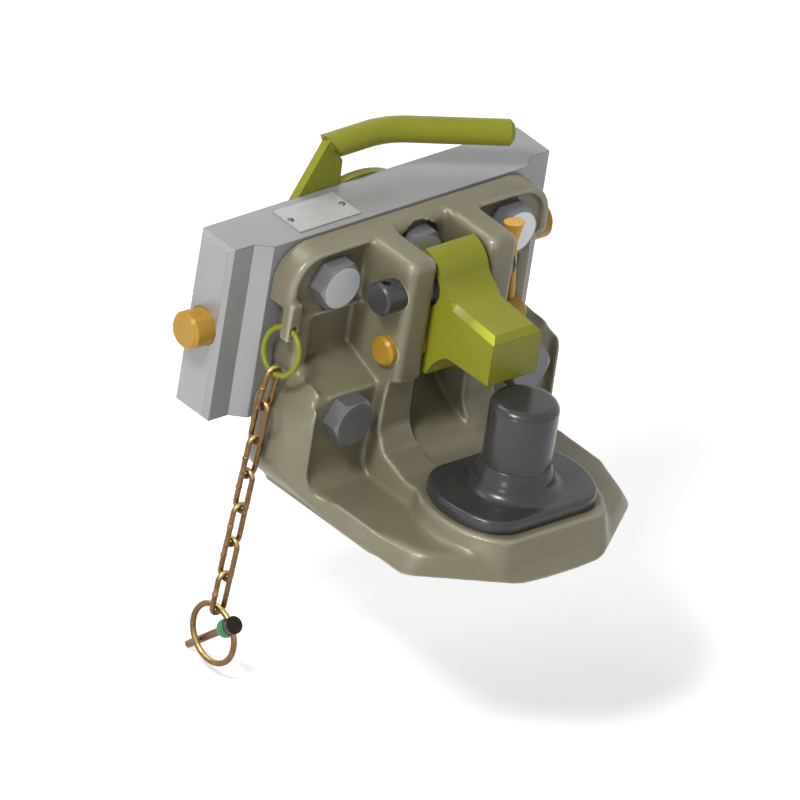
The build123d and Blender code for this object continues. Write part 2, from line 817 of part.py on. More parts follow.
nut_top = tray_bottom - piton_washer_thick
with BuildPart() as piton_nut:
    with BuildSketch(Plane.XY.offset(nut_top)):
        with Locations(piton_place):
            RegularPolygon(nut_af / 2, 6, major_radius=False)
    extrude(amount=-nut_height)
    with BuildSketch(Plane.XY.offset(nut_top - nut_height)):
        with Locations(piton_place):
            Circle(head_face_share * nut_af / 2)
    extrude(amount=nut_height, taper=bolt_head_chamfer - 90, mode=Mode.INTERSECT)
    with BuildSketch(Plane.XY.offset(nut_top)):
        with Locations(piton_place):
            Circle(stud_r + thread_clearance)
    extrude(amount=-nut_height, mode=Mode.SUBTRACT)
keep(piton_nut, "piton_nut")

# Keeper: swings up on its pivot once the locking pin is drawn
lock_reach = pivot_z - lock_z
lock_slot_half = lock_pin_r + lock_slot_clearance
with BuildPart() as keeper:
    with BuildSketch(SIDE.offset(-keeper_half_width)):
        with BuildLine():
            crown = ThreePointArc(keeper_crown_back, keeper_crown_middle, keeper_crown_front)
            ramp = ThreePointArc(crown @ 1, keeper_ramp_middle, (keeper_nose_start, keeper_nose_top))
            Polyline(
                ramp @ 1,
                (keeper_nose_front - keeper_nose_chamfer, keeper_nose_front_top),
                (keeper_nose_front, keeper_nose_front_top - keeper_nose_chamfer),
                (keeper_nose_front, keeper_nose_bottom),
                keeper_throat_front,
            )
            throat = ThreePointArc(
                keeper_throat_front, keeper_throat_middle, (keeper_tail_front, keeper_tail_bottom)
            )
            Polyline(
                throat @ 1,
                (keeper_rear + keeper_tail_chamfer, keeper_tail_bottom),
                (keeper_rear, keeper_tail_bottom + keeper_tail_chamfer),
                (keeper_rear, keeper_rear_top),
                crown @ 0,
            )
        make_face()
    extrude(amount=2 * keeper_half_width)
    for side in (-1, 1):
        nose_edge = Plane(
            origin=(side * keeper_half_width, -keeper_nose_start, keeper_nose_top),
            x_dir=(-side, 0, 0),
            z_dir=(0, keeper_nose_start - keeper_nose_front, keeper_nose_front_top - keeper_nose_top),
        )
        with BuildSketch(nose_edge):
            with BuildLine():
                drop = -side * keeper_nose_chamfer
                Polyline(
                    (0, 0),
                    (keeper_nose_chamfer, 0),
                    (0, drop),
                    (-overrun, drop),
                    (-overrun, -drop),
                    (keeper_nose_chamfer, -drop),
                    close=True,
                )
            make_face()
        extrude(amount=keeper_nose_front - keeper_nose_start + 5 * overrun, mode=Mode.SUBTRACT)
    with BuildSketch(SIDE.offset(-keeper_half_width)):
        with Locations((pin_forward, pivot_z)):
            Circle(lock_reach + lock_slot_half)
            Circle(lock_reach - lock_slot_half, mode=Mode.SUBTRACT)
        with BuildLine():
            Polyline(
                (pin_forward, pivot_z),
                (pin_forward, lock_z - lock_reach),
                (pin_forward - 2 * lock_reach, lock_z - lock_reach),
                (pin_forward - 2 * lock_reach, lock_z + lock_pin_r),
                close=True,
            )
        make_face(mode=Mode.INTERSECT)
    extrude(amount=2 * keeper_half_width, mode=Mode.SUBTRACT)
    with BuildSketch(SIDE.offset(-keeper_half_width)):
        with Locations((pin_forward, pivot_z)):
            Circle(bush_r + pin_clearance)
        with Locations((pin_forward, lock_z)):
            Circle(lock_slot_half)
    extrude(amount=2 * keeper_half_width, mode=Mode.SUBTRACT)
keep(keeper, "keeper")

with BuildPart() as keeper_bush:
    with BuildSketch(Plane.YZ.offset(-keeper_half_width)):
        with Locations((-pin_forward, pivot_z)):
            Circle(bush_r)
            Circle(pivot_pin_r + bush_clearance, mode=Mode.SUBTRACT)
    extrude(amount=2 * keeper_half_width)
keep(keeper_bush, "keeper_bush")

pivot_pin_left = -cheek_outer - pivot_pin_left_reach
with BuildPart() as pivot_pin:
    with BuildSketch(Plane.YZ.offset(pivot_pin_left)):
        with Locations((-pin_forward, pivot_z)):
            Circle(pivot_pin_r)
    extrude(amount=cheek_outer + pivot_pin_right_reach - pivot_pin_left)
    chamfer(pivot_pin.faces().filter_by(Axis.X).edges(), pivot_pin_chamfer)
    with BuildSketch(Plane.XY.offset(pivot_z - pivot_pin_r)):
        with Locations((pivot_pin_left + cross_hole_inset, -pin_forward)):
            Circle(cross_hole_r)
    extrude(amount=2 * pivot_pin_r, mode=Mode.SUBTRACT)
keep(pivot_pin, "pivot_pin")

# Locking pin and the rod through its right end
lock_left = -cheek_outer - lock_pin_left_reach
lock_right = cheek_outer + lock_pin_right_reach
rod_plane = Plane(
    origin=(lock_right - handle_rod_inset, -pin_forward, lock_z), x_dir=(1, 0, 0), z_dir=(0, 0, 1)
).rotated((-handle_lean, 0, 0))
with BuildPart() as locking_pin:
    with BuildSketch(Plane.YZ.offset(lock_left)):
        with Locations((-pin_forward, lock_z)):
            Circle(lock_pin_r)
    extrude(amount=lock_right - lock_left)
    chamfer(locking_pin.faces().filter_by(Axis.X).edges(), lock_pin_chamfer)
    with BuildSketch(rod_plane):
        Circle(handle_rod_r + thread_clearance)
    extrude(amount=2 * lock_pin_r, both=True, mode=Mode.SUBTRACT)
keep(locking_pin, "locking_pin")

with BuildPart() as locking_pin_handle:
    with BuildSketch(rod_plane.offset(-handle_foot)):
        Circle(handle_rod_r)
    extrude(amount=handle_length)
    with BuildSketch(rod_plane.offset(handle_length - handle_foot - handle_cone)):
        Circle(handle_rod_r)
    with BuildSketch(rod_plane.offset(handle_length - handle_foot)):
        Circle(handle_head_r)
    loft()
keep(locking_pin_handle, "locking_pin_handle")

# Ring in the lug's hole, tilted outwards
ring_top = Vector(ring_hole_x, -ring_hole_forward, ring_hole_z - ring_seat_drop)
ring_lean = math.radians(ring_tilt)
ring_down = Vector(-math.sin(ring_lean), 0, -math.cos(ring_lean))
ring_normal = Vector(math.cos(ring_lean), 0, -math.sin(ring_lean))
with BuildPart() as chain_ring:
    with Locations(Plane(origin=ring_top + ring_down * ring_r, z_dir=ring_normal)):
        Torus(ring_r, ring_wire_r)
keep(chain_ring, "chain_ring")

# Chain of seven links, each a quarter turn from the one before
hang_point = ring_top + ring_down * (2 * ring_r)
lift = ring_wire_r + link_wire_r + link_gap
back_lean = math.radians(chain_back_tilt)
for number in range(1, link_count + 1):
    lean = math.radians(first_link_tilt if number == 1 else chain_tilt)
    down = Vector(-math.sin(lean), math.tan(back_lean), -math.cos(lean)).normalized()
    link_top = hang_point - down * lift
    sideways = Vector(math.cos(lean), 0, -math.sin(lean))
    across = sideways if number % 2 else sideways.cross(down)
    link_plane = Plane(origin=link_top, x_dir=across, z_dir=across.cross(down * -1))
    with BuildPart() as chain_link:
        with BuildLine(link_plane):
            half = link_width / 2
            left_side = Line((-half, -half), (-half, half - link_length))
            turn = ThreePointArc(left_side @ 1, (0, -link_length), (half, half - link_length))
            right_side = Line(turn @ 1, (half, -half))
            ThreePointArc(right_side @ 1, (0, 0), left_side @ 0)
        with BuildSketch(Plane(origin=left_side @ 0, z_dir=left_side % 0)):
            Circle(link_wire_r)
        sweep()
    keep(chain_link, f"chain_link_{number}")
    hang_point = link_top + down * link_length
    lift = 2 * link_wire_r + link_gap

# Linch pin: ring hung in the last link, pin with its head on the ring, collar on the pin
bail_top = hang_point + Vector(0, 0, link_wire_r + bail_wire_r + link_gap)
bail_centre = bail_top - Vector(0, 0, bail_r)
slant = math.radians(linch_angle)
skew = math.radians(linch_skew)
head_point = bail_centre + Vector(0, -math.sin(slant), math.cos(slant)) * bail_r
pin_direction = Vector(math.sin(skew), math.sin(slant) * math.cos(skew), -math.cos(slant) * math.cos(skew))
linch_plane = Plane(origin=head_point, z_dir=pin_direction)
with BuildPart() as linch_ring:
    with Locations(Plane(origin=bail_centre, z_dir=(1, 0, 0))):
        Torus(bail_r, bail_wire_r)
keep(linch_ring, "linch_ring")

with BuildPart() as linch_pin:
    with BuildSketch(linch_plane):
        Circle(linch_head_r)
    extrude(amount=linch_head_length / 2, both=True)
    with Locations(Plane(origin=bail_centre, z_dir=(1, 0, 0))):
        Torus(bail_r, bail_wire_r + linch_head_play, mode=Mode.SUBTRACT)
    with BuildSketch(linch_plane.offset(linch_head_length / 2 - linch_pin_sink)):
        Circle(linch_pin_r)
    extrude(amount=2 * bail_r + linch_tip_reach)
keep(linch_pin, "linch_pin")

with BuildPart() as linch_collar:
    with BuildSketch(linch_plane.offset(linch_head_length / 2)):
        Circle(collar_r)
        Circle(linch_pin_r + thread_clearance, mode=Mode.SUBTRACT)
    extrude(amount=collar_length)
keep(linch_collar, "linch_collar")
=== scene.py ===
import json
import math

import bmesh
import bpy
from mathutils import Matrix, Vector

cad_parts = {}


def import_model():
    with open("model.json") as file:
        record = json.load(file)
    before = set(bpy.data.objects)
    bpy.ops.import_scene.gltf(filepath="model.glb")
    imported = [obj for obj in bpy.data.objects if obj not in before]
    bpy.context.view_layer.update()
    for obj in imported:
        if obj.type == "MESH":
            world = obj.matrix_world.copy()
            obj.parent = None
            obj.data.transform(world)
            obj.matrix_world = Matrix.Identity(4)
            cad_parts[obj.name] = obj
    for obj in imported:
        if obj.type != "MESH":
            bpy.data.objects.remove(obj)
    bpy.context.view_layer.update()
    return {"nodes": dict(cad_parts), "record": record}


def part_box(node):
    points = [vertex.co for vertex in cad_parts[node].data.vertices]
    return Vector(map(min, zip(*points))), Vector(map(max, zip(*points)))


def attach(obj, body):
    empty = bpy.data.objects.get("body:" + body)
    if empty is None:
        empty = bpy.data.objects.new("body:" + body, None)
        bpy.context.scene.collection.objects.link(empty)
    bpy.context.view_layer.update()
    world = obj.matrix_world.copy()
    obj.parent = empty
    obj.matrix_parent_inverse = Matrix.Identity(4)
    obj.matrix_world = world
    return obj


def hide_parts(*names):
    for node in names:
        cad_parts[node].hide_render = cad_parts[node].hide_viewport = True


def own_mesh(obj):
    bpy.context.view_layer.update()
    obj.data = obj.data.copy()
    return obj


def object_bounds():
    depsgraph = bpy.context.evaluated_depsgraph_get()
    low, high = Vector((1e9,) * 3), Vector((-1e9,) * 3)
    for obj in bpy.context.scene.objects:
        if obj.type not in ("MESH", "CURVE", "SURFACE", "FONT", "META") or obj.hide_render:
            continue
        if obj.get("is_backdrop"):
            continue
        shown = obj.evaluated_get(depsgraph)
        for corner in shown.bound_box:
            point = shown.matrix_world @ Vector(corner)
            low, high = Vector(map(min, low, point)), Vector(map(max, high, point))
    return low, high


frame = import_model()
nodes = frame["nodes"]

MM = 0.001

# Photograph's view: an orthographic camera, with its axes in the object's frame
FRAME_WIDTH = 0.5
VIEW_RIGHT = Vector((0.7551, -0.6414, 0.1363))
VIEW_BACK = Vector((-0.6097, -0.6103, 0.5057))
VIEW_SHIFT_RIGHT = 0.02025
VIEW_SHIFT_UP = -0.0796
CAMERA_DISTANCE = 1.5

# Stage and light: each lamp's place, size and power
FLOOR_GAP = 0.002
FLOOR_SIZE = 12.0
FLOOR_COLOUR = (0.86, 0.86, 0.86, 1)
FLOOR_ROUGHNESS = 0.9
FLOOR_GLOW = 0.48
WORLD_STRENGTH = 0.33
WHITE = (1, 1, 1, 1)
TARGET = (0, -0.08, -0.02)
LAMPS = {
    "key": ((-1.3, -0.30, 1.55), 0.45, 28.5),
    "low": ((-1.5, -0.75, 0.05), 0.35, 3.0),
    "fill": ((1.3, -1.5, 0.9), 1.4, 1.0),
    "rim": ((-0.3, 1.2, 1.6), 0.9, 11.0),
}

# Shading: the ranges that each effect runs over, from none to full
NOISE_ROUGHNESS = 0.6
PATCH_DETAIL = 4.0
PATCH_RANGE = (0.35, 0.65)
GRAIN_DETAIL = 3.0
GRAIN_RANGE = (0.3, 0.7)
GRAIN_SMOOTHER = 0.06
GRAIN_ROUGHER = 0.08
EDGE_TURN = (0.97, 0.80)
RECESS_SHADE_RANGE = (0.80, 0.20)
BUMP_STRENGTH = 0.6
EDGE_SAMPLES = 6
BEVEL_SAMPLES = 4
RECESS_SHADE_SAMPLES = 8

# A mix node has sockets for each kind of value: these are the ones for colours
MIX_COLOURS = (6, 7)
MIX_RESULT = 2

# Piton: pin with its foot, and the cut-off round flange with soft corners
PITON_FORWARD = 0.1561
PITON_SIDES = 128
PIN_R = 22.25 * MM
PIN_TOP = -7.6 * MM
PIN_TOP_R = 1 * MM
PIN_TOP_SHARE = 0.6
PIN_ROUND = 6 * MM
PIN_GROOVE = 0.35 * MM
NECK_TOP = -51.6 * MM
NECK_R = 25 * MM
NECK_FOOT = -58.6 * MM
FOOT_R = 34 * MM
FOOT_STEPS = 10
FLANGE_TOP = -68.5 * MM
FLANGE_BOTTOM = -77.5 * MM
FLANGE_R = 54 * MM
FLANGE_FLAT = 39 * MM
FLANGE_CORNER = 24 * MM
FLANGE_EDGE = 2.6 * MM
FLANGE_LOWER_EDGE = 0.8 * MM
SPIGOT_R = 18 * MM
SPIGOT_BOTTOM = -104.5 * MM
STUD_R = 15 * MM
STUD_EDGE = 1.5 * MM

# Casting's skin: a fine even mesh of the CAD solid with its bores filled, softened, and bored again.
# The tray's rim, past a radius about the piton and in front of a line, is softened further than the rest.
# So are the lower lobes, and the thin lug of the ring is softened less.
SKIN_VOXEL = 1.4 * MM
SKIN_REACH = 3.4 * MM
SKIN_FACTOR = 0.5
RIM_REACH = 7.5 * MM
RIM_START = 57 * MM
RIM_BACK = -0.135
RIM_FADE = 8 * MM
LOBE_LOW = Vector((0.086, -0.100, -0.100))
LOBE_HIGH = Vector((0.110, -0.052, -0.020))
LUG_SOFTNESS = 0.35
LUG_LOW = (-0.1075, -0.048, 0.003)
LUG_HIGH = (-0.0965, -0.038, 0.024)
CREASE_ANGLE = math.radians(38)

# Bores: the fill stops short of both ends and is wider than the bore, and the cut runs past both ends.
# A pin's bore has its height and radius, and a bolt's its place across, its height and its front end.
BORE_SIDES = 64
BORE_INSET = 0.15 * MM
BORE_FILL = 0.4 * MM
BORE_RUN = 4 * MM
PIN_Y = -0.0717
CHEEK_INNER = 0.0215
CHEEK_OUTER = 0.0445
PIN_BORES = ((0.0359, 0.01105), (-0.005, 0.01008))
BOLT_SEAT = -0.024
BOLT_BORE_R = 0.011
BOLT_BORES = (
    (-0.0725, 0.038, -0.0405),
    (0, 0.038, -0.0345),
    (0.0725, 0.038, -0.0405),
    (-0.0725, -0.0453, -0.071),
    (0.0725, -0.0453, -0.071),
)
TRAY_BORE = ((0, -PITON_FORWARD, -0.1055), (0, -PITON_FORWARD, -0.0775), 0.0181)
LUG_BORE = ((-0.1028, -0.0465, 0.0113), (-0.1028, -0.0385, 0.0113), 0.0032)

# Each bore as a point at each end and a radius. The pins' bores run sideways and the bolts' run forward.
BORES = [
    ((side * CHEEK_INNER, PIN_Y, height), (side * CHEEK_OUTER, PIN_Y, height), radius)
    for height, radius in PIN_BORES
    for side in (-1, 1)
]
BORES += [((x, BOLT_SEAT, z), (x, front, z), BOLT_BORE_R) for x, z, front in BOLT_BORES]
BORES += [TRAY_BORE, LUG_BORE]

# Keeper's nose: its upper side edges with an open bevel. Points are forward and up from the origin.
KEEPER_HALF = 20 * MM
NOSE_START = (100 * MM, 35.4 * MM)
NOSE_END = (136.6 * MM, 32.3 * MM)
NOSE_FRONT = (140.6 * MM, 28.3 * MM)
NOSE_BEVEL = 4 * MM
NOSE_FILL = 6 * MM
NOSE_OVER = 1.2 * MM
MERGE_DISTANCE = 0.001 * MM

# Linch pin's collar: a sleeve on the pin that also grips the inner end of the head
COLLAR_R = 6.25 * MM
COLLAR_GRIP = 3.4 * MM
COLLAR_LENGTH = 4 * MM
COLLAR_EDGE = 0.6 * MM
COLLAR_SIDES = 48
LINCH_HEAD_R = 5.82 * MM
LINCH_PIN_R = 2.65 * MM
HEAD_FADE = 1 * MM

# Handle's welds: each one's y, and how far it runs below its middle as a share of how far it runs above.
# A bead is blunt at its ends: BLUNT is the power of its outline, and TIP its least share there.
WELDS = {"front": (0.016, 0.15), "back": (0.022, 1)}
WELD_X = -0.03063
HANDLE_HEIGHT = 0.0915
WELD_RUN = Vector((0.0135, 0, -0.017)).normalized()
WELD_STEPS = 60
WELD_REACH = 9.6 * MM
WELD_RADIUS = 1.7 * MM
WELD_RIPPLE = 0.16
WELD_PITCH = 1.5 * MM
WELD_BLUNT = 8
WELD_TIP = 0.04
TUBE_SIDES = 14

# Chain links' butt welds
LINKS = 7
LINK_WIRE = 1.8 * MM
LINK_SEAM = 0.35 * MM
LINK_SEAM_LENGTH = 3.2 * MM
LINK_SEAM_STEPS = 10

# Surfaces: two shades in patches, a grain, and where given a colour along the edges.
# Scales count in noise cells to the metre, and lengths are in metres.
LOOKS = {
    "casting_paint": dict(
        colour=(0.216, 0.196, 0.127), shade=(0.186, 0.168, 0.107), metallic=0.12, roughness=0.36,
        patch_scale=22, grain_scale=650, grain_height=0.00020,
    ),
    "slider_steel": dict(
        colour=(0.355, 0.353, 0.358), shade=(0.325, 0.323, 0.328), metallic=0.30, roughness=0.36,
        patch_scale=14, grain_scale=900, grain_height=0.00006, stretch=(0.05, 1, 1),
        edge=0.0010, edge_colour=(0.05, 0.05, 0.055), bevel=0.0006,
    ),
    "plate_metal": dict(
        colour=(0.50, 0.495, 0.49), shade=(0.46, 0.455, 0.452), metallic=0.2, roughness=0.42,
        patch_scale=40, grain_scale=1200, grain_height=0.00004, stretch=(0.04, 1, 1),
        edge=0.0007, edge_colour=(0.06, 0.06, 0.065), bevel=0.0003,
    ),
    "rivet_metal": dict(
        colour=(0.16, 0.16, 0.17), shade=(0.10, 0.10, 0.11), metallic=0.7, roughness=0.35,
        patch_scale=200, grain_scale=2500, grain_height=0.00003, bevel=0.0002,
    ),
    "spring_steel": dict(
        colour=(0.22, 0.22, 0.24), shade=(0.16, 0.16, 0.17), metallic=0.9, roughness=0.32,
        patch_scale=90, grain_scale=2000, grain_height=0.00003,
    ),
    "zinc_bolt": dict(
        colour=(0.185, 0.185, 0.195), shade=(0.155, 0.155, 0.165), metallic=0.35, roughness=0.36,
        patch_scale=60, grain_scale=1400, grain_height=0.00004,
        edge=0.0008, edge_colour=(0.035, 0.035, 0.04), bevel=0.0005,
    ),
    "machined_head": dict(
        colour=(0.21, 0.21, 0.225), shade=(0.175, 0.175, 0.19), metallic=0.35, roughness=0.36,
        patch_scale=60, grain_scale=1400, grain_height=0.00004,
        edge=0.0008, edge_colour=(0.035, 0.035, 0.04), bevel=0.0005,
    ),
    "dark_steel": dict(
        colour=(0.046, 0.046, 0.047), shade=(0.038, 0.038, 0.040), metallic=0.10, roughness=0.24,
        patch_scale=30, grain_scale=2600, grain_height=0.000004, gloss=0.45,
    ),
    "pin_steel": dict(
        colour=(0.058, 0.058, 0.062), shade=(0.045, 0.045, 0.050), metallic=0.3, roughness=0.33,
        patch_scale=60, grain_scale=1100, grain_height=0.00002, bevel=0.0006,
    ),
    "green_paint": dict(
        colour=(0.255, 0.262, 0.018), shade=(0.228, 0.233, 0.014), metallic=0.0, roughness=0.34,
        patch_scale=26, grain_scale=420, grain_height=0.00003, gloss=0.28,
        edge=0.0009, edge_colour=(0.07, 0.07, 0.010), bevel=0.0009,
    ),
    "orange_paint": dict(
        colour=(0.46, 0.255, 0.026), shade=(0.40, 0.22, 0.022), metallic=0.10, roughness=0.30,
        patch_scale=50, grain_scale=700, grain_height=0.00001, gloss=0.35,
        edge=0.0007, edge_colour=(0.14, 0.07, 0.012), bevel=0.0006,
    ),
    # Painted light: the orange paint made lighter for the handle's rod, which lies in the shadow of the
    # cheek
    "orange_rod_painted_light": dict(
        colour=(0.72, 0.40, 0.05), shade=(0.62, 0.34, 0.04), metallic=0.10, roughness=0.30,
        patch_scale=50, grain_scale=700, grain_height=0.00001, gloss=0.35,
        edge=0.0007, edge_colour=(0.25, 0.12, 0.02), bevel=0.0006,
    ),
    "bronze_zinc": dict(
        colour=(0.235, 0.125, 0.045), shade=(0.13, 0.062, 0.020), metallic=0.6, roughness=0.30,
        patch_scale=160, grain_scale=1500, grain_height=0.00003,
    ),
    "collar_green": dict(
        colour=(0.012, 0.255, 0.075), shade=(0.010, 0.19, 0.055), metallic=0.0, roughness=0.32,
        patch_scale=200, grain_scale=1500, grain_height=0.00003, gloss=0.35, bevel=0.0002,
    ),
    "linch_bronze": dict(
        colour=(0.20, 0.095, 0.035), shade=(0.12, 0.055, 0.020), metallic=0.6, roughness=0.30,
        patch_scale=160, grain_scale=1500, grain_height=0.00003, bevel=0.0002,
    ),
}

# Nodes whose surface differs from that of their slot in the record
FINER = {"upper_bolts": "machined_head", "locking_pin_handle": "orange_rod_painted_light", "linch_pin": "linch_bronze"}


def add_node(tree, kind, **values):
    """A shader node whose inputs are set by name."""
    node = tree.nodes.new(kind)
    for name, value in values.items():
        node.inputs[name].default_value = value
    return node


def noise(tree, place, scale, detail):
    """A noise texture over a place."""
    node = add_node(tree, "ShaderNodeTexNoise", Scale=scale, Detail=detail, Roughness=NOISE_ROUGHNESS)
    tree.links.new(place, node.inputs["Vector"])
    return node.outputs["Fac"]


def mapped(tree, value, low, high, to_low, to_high):
    """A value stretched from one range to another, and clamped."""
    node = tree.nodes.new("ShaderNodeMapRange")
    for key, number in (("From Min", low), ("From Max", high), ("To Min", to_low), ("To Max", to_high)):
        node.inputs[key].default_value = number
    tree.links.new(value, node.inputs["Value"])
    return node.outputs["Result"]


def mixed(tree, share, first, second):
    """Two colours mixed by a share. Each is a colour or another node's output."""
    node = tree.nodes.new("ShaderNodeMix")
    node.data_type = "RGBA"
    tree.links.new(share, node.inputs["Factor"])
    for socket, colour in zip(MIX_COLOURS, (first, second)):
        if isinstance(colour, tuple):
            node.inputs[socket].default_value = (*colour, 1)
        else:
            tree.links.new(colour, node.inputs[socket])
    return node.outputs[MIX_RESULT]


def aligned(tree, value, direction):
    """How far a vector agrees with a direction: their dot product. The direction may be a node's output."""
    node = tree.nodes.new("ShaderNodeVectorMath")
    node.operation = "DOT_PRODUCT"
    tree.links.new(value, node.inputs[0])
    if isinstance(direction, bpy.types.NodeSocket):
        tree.links.new(direction, node.inputs[1])
    else:
        node.inputs[1].default_value = direction
    return node.outputs["Value"]


def rounded_normal(tree, radius, samples):
    """The surface's direction with its edges rounded to a radius."""
    node = add_node(tree, "ShaderNodeBevel", Radius=radius)
    node.samples = samples
    return node.outputs["Normal"]


def edge_share(tree, radius):
    """1 along an edge and 0 on flat faces, from how far a rounded normal turns there."""
    rounded = rounded_normal(tree, radius, EDGE_SAMPLES)
    plain = tree.nodes.new("ShaderNodeNewGeometry").outputs["Normal"]
    return mapped(tree, aligned(tree, rounded, plain), *EDGE_TURN, 0.0, 1.0)


def surface(name, colour, shade, metallic, roughness, patch_scale, grain_scale, grain_height,
            edge=None, edge_colour=None, stretch=(1, 1, 1), gloss=0.5, bevel=None):
    """One of the LOOKS as a material. A bevel rounds the edges in the light, without changing the mesh."""
    material = bpy.data.materials.new(name)
    material.use_nodes = True
    tree = material.node_tree
    shader = tree.nodes["Principled BSDF"]
    shader.inputs["Metallic"].default_value = metallic
    shader.inputs["Specular IOR Level"].default_value = gloss
    place = tree.nodes.new("ShaderNodeTexCoord").outputs["Object"]
    stretched = add_node(tree, "ShaderNodeMapping", Scale=stretch)
    tree.links.new(place, stretched.inputs["Vector"])
    grain = noise(tree, stretched.outputs["Vector"], grain_scale, GRAIN_DETAIL)

    patches = mapped(tree, noise(tree, place, patch_scale, PATCH_DETAIL), *PATCH_RANGE, 0.0, 1.0)
    result = mixed(tree, patches, colour, shade)
    if edge:
        result = mixed(tree, edge_share(tree, edge), result, edge_colour)
    tree.links.new(result, shader.inputs["Base Color"])
    rough = mapped(tree, grain, *GRAIN_RANGE, roughness - GRAIN_SMOOTHER, roughness + GRAIN_ROUGHER)
    tree.links.new(rough, shader.inputs["Roughness"])

    bump = add_node(tree, "ShaderNodeBump", Strength=BUMP_STRENGTH, Distance=grain_height)
    tree.links.new(grain, bump.inputs["Height"])
    if bevel:
        tree.links.new(rounded_normal(tree, bevel, BEVEL_SAMPLES), bump.inputs["Normal"])
    tree.links.new(bump.outputs["Normal"], shader.inputs["Normal"])
    return material


def over(material, share, colour):
    """Lay a colour over a material's own by a share."""
    tree = material.node_tree
    socket = tree.nodes["Principled BSDF"].inputs["Base Color"]
    own = socket.links[0].from_socket
    tree.links.new(mixed(tree, share, own, colour), socket)


def faced(material, side, start, colour):
    """Another colour on the faces that look to one side of the piece, where their alignment passes start."""
    tree = material.node_tree
    normal = tree.nodes.new("ShaderNodeTexCoord").outputs["Normal"]
    over(material, mapped(tree, aligned(tree, normal, side), start, 1.0, 0.0, 1.0), colour)


def painted_recess_shade(material, reach, colour):
    """Painted shade: another colour in the recesses of a surface, darker where shade falls."""
    tree = material.node_tree
    shade = add_node(tree, "ShaderNodeAmbientOcclusion", Distance=reach)
    shade.samples = RECESS_SHADE_SAMPLES
    over(material, mapped(tree, shade.outputs["AO"], *RECESS_SHADE_RANGE, 0.0, 1.0), colour)


def worn_and_highlighted_edges(material, start, full, colour):
    """Another colour on the outer edges of a surface: wear as handling leaves, and a painted highlight along
    them.
    """
    tree = material.node_tree
    sharpness = tree.nodes.new("ShaderNodeNewGeometry").outputs["Pointiness"]
    over(material, mapped(tree, sharpness, start, full, 0.0, 1.0), colour)


def linch_line():
    """The middle of the linch pin's collar and the tip of the pin."""
    collar = [vertex.co for vertex in nodes["linch_collar"].data.vertices]
    pin = [vertex.co for vertex in nodes["linch_pin"].data.vertices]
    middle = sum(collar, Vector()) / len(collar)
    return middle, max(pin, key=lambda place: (place - middle).length)


def dark_head(material, colour):
    """Another colour on the linch pin's head, behind the collar."""
    tree = material.node_tree
    place = tree.nodes.new("ShaderNodeTexCoord").outputs["Object"]
    middle, tip = linch_line()
    axis = (tip - middle).normalized()
    behind = axis.dot(middle)
    over(material, mapped(tree, aligned(tree, place, axis), behind, behind - HEAD_FADE, 0.0, 1.0), colour)


MATERIALS = {name: surface(name, **look) for name, look in LOOKS.items()}
# Painted shade: a darker colour in the casting's recesses
painted_recess_shade(MATERIALS["casting_paint"], reach=0.016, colour=(0.125, 0.111, 0.070))
# A lighter colour on the casting's sharper edges: paint wear, and a painted highlight along the fillets
worn_and_highlighted_edges(MATERIALS["casting_paint"], start=0.515, full=0.56, colour=(0.46, 0.44, 0.35))
faced(MATERIALS["machined_head"], side=(0, -1, 0), start=0.93, colour=(0.70, 0.71, 0.73))
# Painted highlight: a lighter green on the green parts' faces that look up and to the left, towards the key
# lamp, as on the keeper nose's chamfer
faced(MATERIALS["green_paint"], side=(-0.707, 0, 0.707), start=0.98, colour=(0.50, 0.51, 0.045))
# Painted highlight: a golden colour on the chain links' faces that look up and to the front-left, where
# their crowns catch the light
faced(MATERIALS["bronze_zinc"], side=(-0.2, -0.35, 0.92), start=0.55, colour=(0.72, 0.55, 0.20))
dark_head(MATERIALS["linch_bronze"], colour=(0.045, 0.033, 0.030))


def placed(name, data):
    """A new object in the scene."""
    thing = bpy.data.objects.new(name, data)
    bpy.context.scene.collection.objects.link(thing)
    return thing


def paint(piece, name):
    """Give a piece one of the materials."""
    piece.data.materials.clear()
    piece.data.materials.append(MATERIALS[name])


def finished(name, mesh, body, slot):
    """A new piece of the object that rides on a body."""
    piece = placed(name, mesh)
    paint(piece, slot)
    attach(piece, body)
    return piece


def mesh_of(name, work):
    """A mesh made from a bmesh, which is freed."""
    mesh = bpy.data.meshes.new(name)
    work.to_mesh(mesh)
    work.free()
    return mesh


def applied(piece):
    """The piece's mesh with its modifiers applied."""
    bpy.context.view_layer.update()
    graph = bpy.context.evaluated_depsgraph_get()
    return bpy.data.meshes.new_from_object(piece.evaluated_get(graph))


def combined(piece, tool, operation):
    """A boolean modifier that joins or cuts with a tool."""
    step = piece.modifiers.new(operation, "BOOLEAN")
    step.operation = operation
    step.solver = "MANIFOLD"
    step.object = tool


def smoothed(mesh):
    """Shade a mesh smooth, apart from its creases."""
    for face in mesh.polygons:
        face.use_smooth = True
    mesh.set_sharp_from_angle(angle=CREASE_ANGLE)
    return mesh


def close_loops(work, loops, joined_ends=False):
    """Faces between neighbouring loops of a bmesh, and a cap at each end unless the ends are joined."""
    pairs = list(zip(loops, loops[1:]))
    if joined_ends:
        pairs.append((loops[-1], loops[0]))
    else:
        work.faces.new(loops[0])
        work.faces.new(loops[-1])
    for first, second in pairs:
        for step in range(len(first)):
            after = (step + 1) % len(first)
            work.faces.new((first[step], first[after], second[after], second[step]))
    bmesh.ops.recalc_face_normals(work, faces=work.faces)


def cylinder(work, start, end, radius):
    """Add a closed cylinder between two points to a bmesh."""
    run = end - start
    turn = run.to_track_quat("Z", "Y").to_matrix().to_4x4()
    bmesh.ops.create_cone(
        work, cap_ends=True, segments=BORE_SIDES, radius1=radius, radius2=radius, depth=run.length,
        matrix=Matrix.Translation((start + end) / 2) @ turn,
    )


